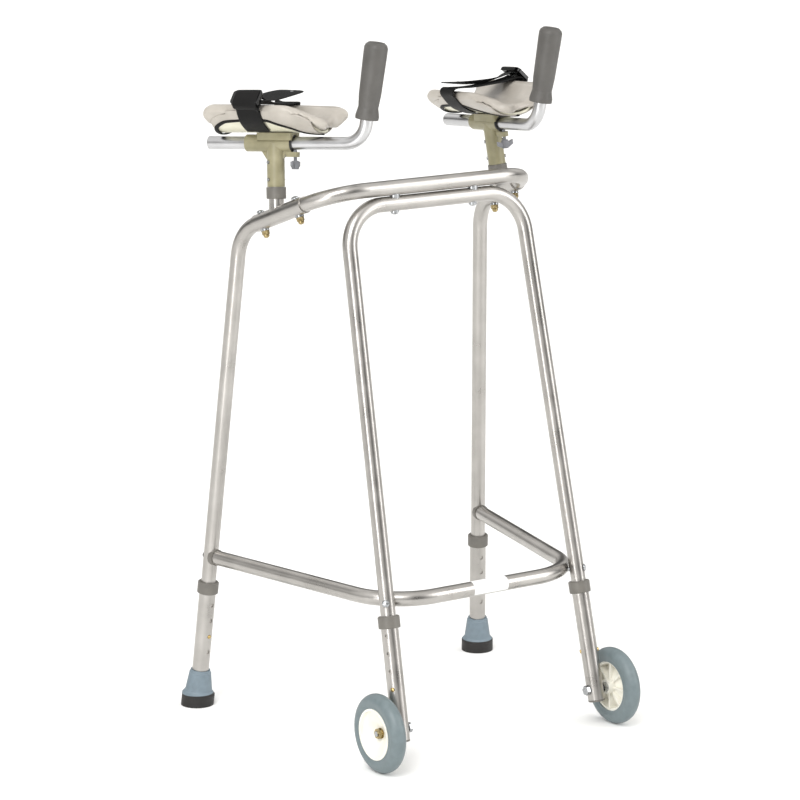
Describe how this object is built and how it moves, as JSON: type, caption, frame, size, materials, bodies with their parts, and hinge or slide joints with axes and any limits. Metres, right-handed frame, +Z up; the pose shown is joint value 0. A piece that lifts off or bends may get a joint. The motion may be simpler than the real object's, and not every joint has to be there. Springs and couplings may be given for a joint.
{
  "type": "walking frame",
  "caption": "Wheeled walking frame of bent tube with forearm troughs on posts, upright handgrips, straps, height-adjustable legs and rear ferrules.",
  "frame": {"origin": "on the floor, under the middle of the bounding box", "axes": "+Z up; -Y is the way the user faces and the wheels are at that end; +X is the user's left"},
  "size_m": [0.572, 0.5107, 1.0304],
  "materials": {
    "tube": "satin anodised",
    "collar": "matt moulded",
    "ferrule": "moulded rubber with a black tread",
    "tyre": "matt rubber",
    "hub": "moulded",
    "zinc": "bright zinc plated",
    "yellow_zinc": "yellow zinc plated",
    "button": "brass",
    "grip": "matt soft plastic",
    "bracket": "olive moulded plastic",
    "bush": "black moulded plastic",
    "knob": "grey moulded plastic",
    "handle_tube": "satin anodised",
    "shell": "cream moulded plastic",
    "vinyl": "silver-grey vinyl over foam",
    "webbing": "black woven webbing",
    "buckle": "black moulded plastic",
    "saddle": "grey moulded plastic"
  },
  "bodies": {
    "frame": {"top_rail": "tube", "front_hoop": "tube", "rear_leg_left": "tube", "rear_leg_right": "tube", "lower_brace": "tube", "post_sleeve_left": "tube", "post_sleeve_right": "tube", "frame_bolts": "zinc", "dome_nuts": "yellow_zinc", "saddle_washers": "zinc", "brace_saddles": "saddle", "brace_rivets": "zinc"},
    "rear_foot_left": {"rear_lower_tube_left": "tube", "rear_leg_collar_left": "collar", "rear_ferrule_left": "ferrule"},
    "front_foot_left": {"front_lower_tube_left": "tube", "front_leg_collar_left": "collar", "front_tube_plug_left": "collar", "axle_bolt_left": "zinc", "axle_nut_left": "yellow_zinc"},
    "wheel_left": {"wheel_tyre_left": "tyre", "wheel_hub_left": "hub"},
    "rear_button_left": {"rear_leg_button_left": "button"},
    "front_button_outer_left": {"front_leg_button_outer_left": "button"},
    "front_button_inner_left": {"front_leg_button_inner_left": "button"},
    "post_slider_left": {"post_collar_left": "collar"},
    "trough_left": {"trough_bracket_left": "bracket", "bracket_screws_left": "zinc", "trough_shell_left": "shell", "trough_pad_left": "vinyl", "forearm_strap_left": "webbing", "strap_buckle_left": "buckle"},
    "handle_bush_left": {"clamp_bush_left": "bush"},
    "handle_left": {"handle_tube_left": "handle_tube", "handgrip_left": "grip"},
    "clamp_screw_left": {"clamp_screw_left": "knob"},
    "rear_foot_right": {"rear_lower_tube_right": "tube", "rear_leg_collar_right": "collar", "rear_ferrule_right": "ferrule"},
    "front_foot_right": {"front_lower_tube_right": "tube", "front_leg_collar_right": "collar", "front_tube_plug_right": "collar", "axle_bolt_right": "zinc", "axle_nut_right": "yellow_zinc"},
    "wheel_right": {"wheel_tyre_right": "tyre", "wheel_hub_right": "hub"},
    "rear_button_right": {"rear_leg_button_right": "button"},
    "front_button_outer_right": {"front_leg_button_outer_right": "button"},
    "front_button_inner_right": {"front_leg_button_inner_right": "button"},
    "post_slider_right": {"post_collar_right": "collar"},
    "trough_right": {"trough_bracket_right": "bracket", "bracket_screws_right": "zinc", "trough_shell_right": "shell", "trough_pad_right": "vinyl", "forearm_strap_right": "webbing", "strap_buckle_right": "buckle"},
    "handle_bush_right": {"clamp_bush_right": "bush"},
    "handle_right": {"handle_tube_right": "handle_tube", "handgrip_right": "grip"},
    "clamp_screw_right": {"clamp_screw_right": "knob"}
  },
  "joints": [
    {"name": "rear_leg_height_left", "type": "slide", "parent": "frame", "child": "rear_foot_left", "axis": [0.0606, 0.0889, -0.9942], "range_m": [-0.025, 0.05], "deforming": ["rear_leg_button_left"]},
    {"name": "front_leg_height_left", "type": "slide", "parent": "frame", "child": "front_foot_left", "axis": [0.0289, -0.2294, -0.9729], "range_m": [0, 0.075], "deforming": ["front_leg_button_outer_left", "front_leg_button_inner_left"]},
    {"name": "wheel_spin_left", "type": "hinge", "parent": "front_foot_left", "child": "wheel_left", "pos_m": [0.21, -0.19763, 0.058], "axis": [1, 0, 0], "continuous": true},
    {"name": "rear_button_press_left", "type": "slide", "parent": "frame", "child": "rear_button_left", "axis": [0.1816, 0.9784, 0.0986], "range_m": [0, 0.0043], "stiffness_N_per_m": 2500, "springref_m": -0.001},
    {"name": "front_button_outer_press_left", "type": "slide", "parent": "frame", "child": "front_button_outer_left", "axis": [-0.8343, 0.5306, -0.1499], "range_m": [0, 0.0043], "stiffness_N_per_m": 2500, "springref_m": -0.001},
    {"name": "front_button_inner_press_left", "type": "slide", "parent": "frame", "child": "front_button_inner_left", "axis": [0.8343, -0.5306, 0.1499], "range_m": [0, 0.0043], "stiffness_N_per_m": 2500, "springref_m": -0.001},
    {"name": "trough_height_left", "type": "slide", "parent": "frame", "child": "post_slider_left", "axis": [-0.0785, 0.1428, 0.9866], "range_m": [-0.005, 0.025]},
    {"name": "trough_swivel_left", "type": "hinge", "parent": "post_slider_left", "child": "trough_left", "pos_m": [0.1923, 0.10241, 0.87286], "axis": [-0.0785, 0.1428, 0.9866], "range_deg": [-43.1, 31.9]},
    {"name": "handle_roll_left", "type": "hinge", "parent": "trough_left", "child": "handle_bush_left", "pos_m": [0.1923, 0.10241, 0.87286], "axis": [-0.0398, -0.9958, 0.0826], "range_deg": [-19.2, 30.8]},
    {"name": "handle_reach_left", "type": "slide", "parent": "handle_bush_left", "child": "handle_left", "axis": [-0.0398, -0.9958, 0.0826], "range_m": [0, 0.04]},
    {"name": "clamp_screw_turn_left", "type": "hinge", "parent": "trough_left", "child": "clamp_screw_left", "pos_m": [0.19345, 0.06797, 0.84571], "axis": [-0.0809, 0.0856, 0.993], "range_deg": [-540, 0]},
    {"name": "rear_leg_height_right", "type": "slide", "parent": "frame", "child": "rear_foot_right", "axis": [-0.0606, 0.0889, -0.9942], "range_m": [-0.025, 0.05], "deforming": ["rear_leg_button_right"]},
    {"name": "front_leg_height_right", "type": "slide", "parent": "frame", "child": "front_foot_right", "axis": [-0.0289, -0.2294, -0.9729], "range_m": [0, 0.075], "deforming": ["front_leg_button_outer_right", "front_leg_button_inner_right"]},
    {"name": "wheel_spin_right", "type": "hinge", "parent": "front_foot_right", "child": "wheel_right", "pos_m": [-0.21, -0.19763, 0.058], "axis": [1, 0, 0], "continuous": true},
    {"name": "rear_button_press_right", "type": "slide", "parent": "frame", "child": "rear_button_right", "axis": [-0.1816, 0.9784, 0.0986], "range_m": [0, 0.0043], "stiffness_N_per_m": 2500, "springref_m": -0.001},
    {"name": "front_button_outer_press_right", "type": "slide", "parent": "frame", "child": "front_button_outer_right", "axis": [0.8343, 0.5306, -0.1499], "range_m": [0, 0.0043], "stiffness_N_per_m": 2500, "springref_m": -0.001},
    {"name": "front_button_inner_press_right", "type": "slide", "parent": "frame", "child": "front_button_inner_right", "axis": [-0.8343, -0.5306, 0.1499], "range_m": [0, 0.0043], "stiffness_N_per_m": 2500, "springref_m": -0.001},
    {"name": "trough_height_right", "type": "slide", "parent": "frame", "child": "post_slider_right", "axis": [0.0785, 0.1428, 0.9866], "range_m": [-0.005, 0.025]},
    {"name": "trough_swivel_right", "type": "hinge", "parent": "post_slider_right", "child": "trough_right", "pos_m": [-0.1923, 0.10241, 0.87286], "axis": [0.0785, 0.1428, 0.9866], "range_deg": [-62.7, 12.3]},
    {"name": "handle_roll_right", "type": "hinge", "parent": "trough_right", "child": "handle_bush_right", "pos_m": [-0.1923, 0.10241, 0.87286], "axis": [0.546, -0.8361, 0.0528], "range_deg": [-25.7, 24.3]},
    {"name": "handle_reach_right", "type": "slide", "parent": "handle_bush_right", "child": "handle_right", "axis": [0.546, -0.8361, 0.0528], "range_m": [-0.014, 0.026]},
    {"name": "clamp_screw_turn_right", "type": "hinge", "parent": "trough_right", "child": "clamp_screw_right", "pos_m": [-0.17758, 0.07198, 0.8449], "axis": [0.0919, 0.1224, 0.9882], "range_deg": [-540, 0]}
  ]
}
